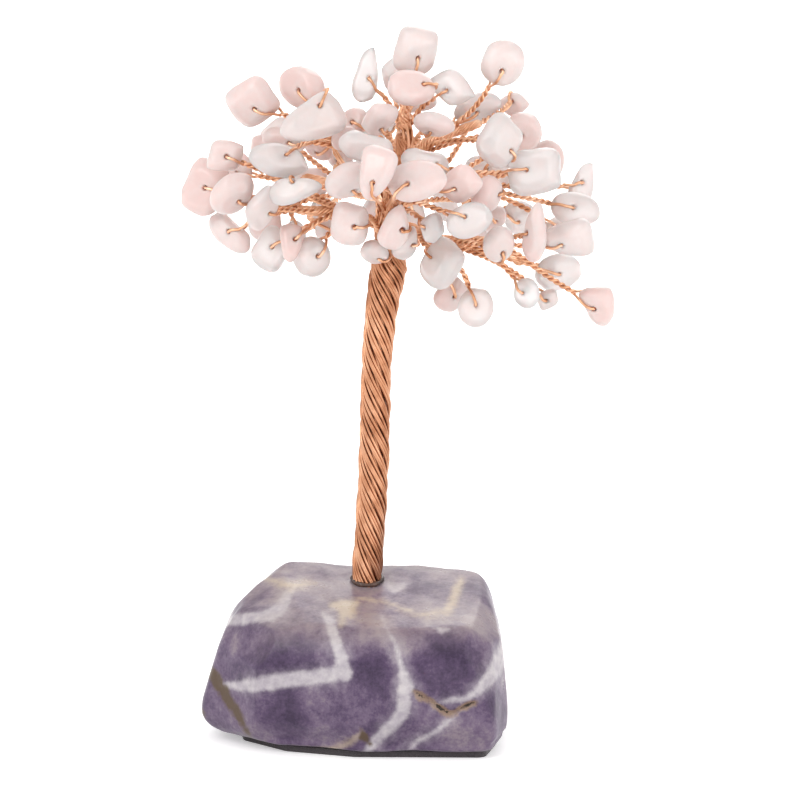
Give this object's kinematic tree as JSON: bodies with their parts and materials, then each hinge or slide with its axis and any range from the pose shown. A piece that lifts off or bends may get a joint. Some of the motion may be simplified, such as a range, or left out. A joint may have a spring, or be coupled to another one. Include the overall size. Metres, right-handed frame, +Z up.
{
  "type": "gemstone tree ornament",
  "caption": "Ornamental tree of drilled rose quartz chips wired onto bendable copper boughs with a twisted trunk, glued into a polished banded amethyst block on a felt pad.",
  "frame": {"origin": "middle of the felt pad's underside, on the surface that the ornament stands on", "axes": "+Z up along the trunk, front of the tree towards -Y, +X to the right seen from the front"},
  "size_m": [0.0734, 0.0588, 0.1224],
  "materials": {
    "felt": "matte",
    "amethyst": "polished, banded purple and white",
    "glue": "hardened clear-brown epoxy",
    "copper": "bright drawn copper wire",
    "rose_quartz": "tumbled, translucent pale pink"
  },
  "bodies": {
    "trunk": {"felt_pad": "felt", "base_stone": "amethyst", "epoxy_collar": "glue", "trunk_core": "copper", "trunk_strands": "copper", "leader_rope": "copper", "binding_wire": "copper", "inner_twigs": "copper", "inner_chips": "rose_quartz"},
    "left_low": {"left_low_bough": "copper", "left_low_twigs": "copper", "left_low_chips": "rose_quartz"},
    "left_high": {"left_high_bough": "copper", "left_high_twigs": "copper", "left_high_chips": "rose_quartz"},
    "top": {"top_bough": "copper", "top_twigs": "copper", "top_chips": "rose_quartz"},
    "right_high": {"right_high_bough": "copper", "right_high_twigs": "copper", "right_high_chips": "rose_quartz"},
    "right_mid": {"right_mid_bough": "copper", "right_mid_twigs": "copper", "right_mid_chips": "rose_quartz"},
    "right_low": {"right_low_bough": "copper", "right_low_twigs": "copper", "right_low_chips": "rose_quartz"},
    "front": {"front_bough": "copper", "front_twigs": "copper", "front_chips": "rose_quartz"},
    "back_left": {"back_left_bough": "copper", "back_left_twigs": "copper", "back_left_chips": "rose_quartz"},
    "back_right": {"back_right_bough": "copper", "back_right_twigs": "copper", "back_right_chips": "rose_quartz"},
    "back": {"back_bough": "copper", "back_twigs": "copper", "back_chips": "rose_quartz"},
    "left_crest": {"left_crest_twig": "copper", "left_crest_chip": "rose_quartz"},
    "top_spindle": {"top_spindle_twig": "copper", "top_spindle_chip": "rose_quartz"},
    "right_crest": {"right_crest_twig": "copper", "right_crest_chip": "rose_quartz"},
    "right_wing": {"right_wing_twig": "copper", "right_wing_chip": "rose_quartz"},
    "right_pendant": {"right_pendant_twig": "copper", "right_pendant_chip": "rose_quartz"},
    "middle_pendant": {"middle_pendant_twig": "copper", "middle_pendant_chip": "rose_quartz"}
  },
  "joints": [
    {"name": "left_low_bend", "type": "hinge", "parent": "trunk", "child": "left_low", "pos_m": [0.00266, 0.004, 0.08906], "axis": [0, 1, 0], "range_deg": [-15, 3]},
    {"name": "left_high_bend", "type": "hinge", "parent": "trunk", "child": "left_high", "pos_m": [0.00658, 0.00383, 0.09772], "axis": [-0.0879, 0.9961, 0], "range_deg": [-3, 12]},
    {"name": "top_bend", "type": "hinge", "parent": "trunk", "child": "top", "pos_m": [0.00849, 0.004, 0.1045], "axis": [0, 1, 0], "range_deg": [-15, 5]},
    {"name": "right_high_bend", "type": "hinge", "parent": "trunk", "child": "right_high", "pos_m": [0.01022, 0.00448, 0.10075], "axis": [0.2589, -0.9659, 0], "range_deg": [-3, 15]},
    {"name": "right_mid_bend", "type": "hinge", "parent": "trunk", "child": "right_mid", "pos_m": [0.00928, 0.00364, 0.09418], "axis": [-0.2122, -0.9772, 0], "range_deg": [-10, 2]},
    {"name": "right_low_bend", "type": "hinge", "parent": "trunk", "child": "right_low", "pos_m": [0.00753, 0.00365, 0.08814], "axis": [-0.1414, -0.99, 0], "range_deg": [-15, 6]},
    {"name": "front_bend", "type": "hinge", "parent": "trunk", "child": "front", "pos_m": [0.00588, 0.00192, 0.09129], "axis": [-1, 0, 0], "range_deg": [-5, 4]},
    {"name": "back_left_bend", "type": "hinge", "parent": "trunk", "child": "back_left", "pos_m": [0.00502, 0.00569, 0.0924], "axis": [0.8354, 0.5496, 0], "range_deg": [-12, 5]},
    {"name": "back_right_bend", "type": "hinge", "parent": "trunk", "child": "back_right", "pos_m": [0.00747, 0.00565, 0.09181], "axis": [0.8206, -0.5715, 0], "range_deg": [-5, 8]},
    {"name": "back_bend", "type": "hinge", "parent": "trunk", "child": "back", "pos_m": [0.00836, 0.00585, 0.10231], "axis": [0.9994, 0.0349, 0], "range_deg": [-10, 15]},
    {"name": "left_crest_bend", "type": "hinge", "parent": "left_high", "child": "left_crest", "pos_m": [-0.00361, 0.00402, 0.10371], "axis": [0.0978, 0.9952, 0], "range_deg": [-5, 25]},
    {"name": "top_spindle_bend", "type": "hinge", "parent": "top", "child": "top_spindle", "pos_m": [0.00702, 0.00445, 0.10668], "axis": [0.1818, 0.9833, 0], "range_deg": [-25, 15]},
    {"name": "right_crest_bend", "type": "hinge", "parent": "right_high", "child": "right_crest", "pos_m": [0.0176, 0.00532, 0.10565], "axis": [-0.1729, -0.9849, 0], "range_deg": [-25, 5]},
    {"name": "right_wing_bend", "type": "hinge", "parent": "right_mid", "child": "right_wing", "pos_m": [0.0184, 0.0009, 0.09704], "axis": [0.3622, -0.9321, 0], "range_deg": [-8, 25]},
    {"name": "right_pendant_bend", "type": "hinge", "parent": "right_low", "child": "right_pendant", "pos_m": [0.02797, -0.00088, 0.08403], "axis": [0.0609, -0.9981, 0], "range_deg": [-20, 25]},
    {"name": "middle_pendant_bend", "type": "hinge", "parent": "right_low", "child": "middle_pendant", "pos_m": [0.01471, -0.00043, 0.08496], "axis": [-0.1606, -0.987, 0], "range_deg": [-8, 18]}
  ]
}
